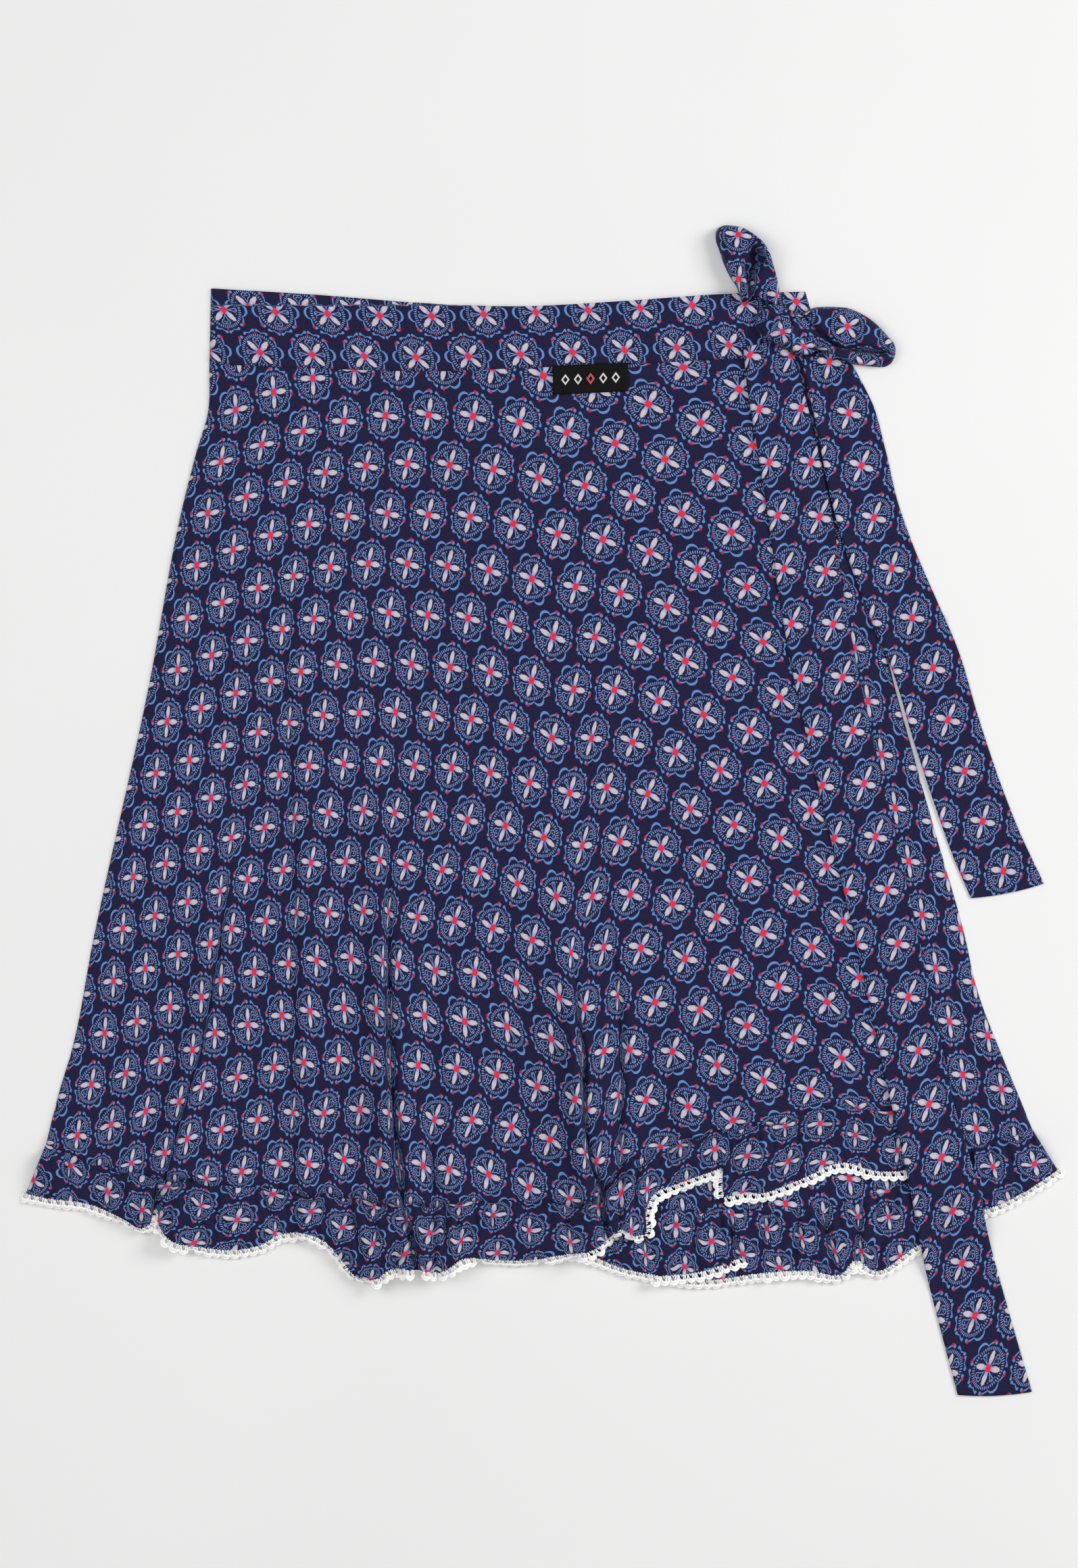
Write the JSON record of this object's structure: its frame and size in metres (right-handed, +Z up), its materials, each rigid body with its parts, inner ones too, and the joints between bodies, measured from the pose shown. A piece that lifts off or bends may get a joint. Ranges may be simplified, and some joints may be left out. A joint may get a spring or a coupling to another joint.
{
  "type": "wrap skirt",
  "caption": "Flared knee-length wrap skirt laid flat, with a straight waistband, gathered hem strip edged in lace, and long ties knotted in a side bow.",
  "frame": {"origin": "middle of the laid skirt's box, on the surface it lies on", "axes": "+X to the right as it is seen from above, +Y from the hem to the waist, +Z up out of the surface"},
  "size_m": [0.6652, 0.7456, 0.0194],
  "materials": {
    "print_cloth": "navy viscose crepe with a small printed flower medallion in blue, cream and red, matt",
    "lace": "white cotton crochet edging, matt",
    "label": "plain black damask-woven tab, slight sheen"
  },
  "bodies": {
    "root": {"back_panel": "print_cloth", "back_ruffle": "print_cloth", "back_lace": "lace", "inner_front_panel": "print_cloth", "inner_front_ruffle": "print_cloth", "inner_front_lace": "lace", "outer_front_panel": "print_cloth", "outer_front_ruffle": "print_cloth", "outer_front_lace": "lace", "waistband_back": "print_cloth", "waistband_inner": "print_cloth", "waistband_outer": "print_cloth", "label": "label", "tie_long": "print_cloth", "tie_short": "print_cloth", "bow_loop_up": "print_cloth", "bow_loop_side": "print_cloth", "bow_knot": "print_cloth"}
  },
  "joints": []
}
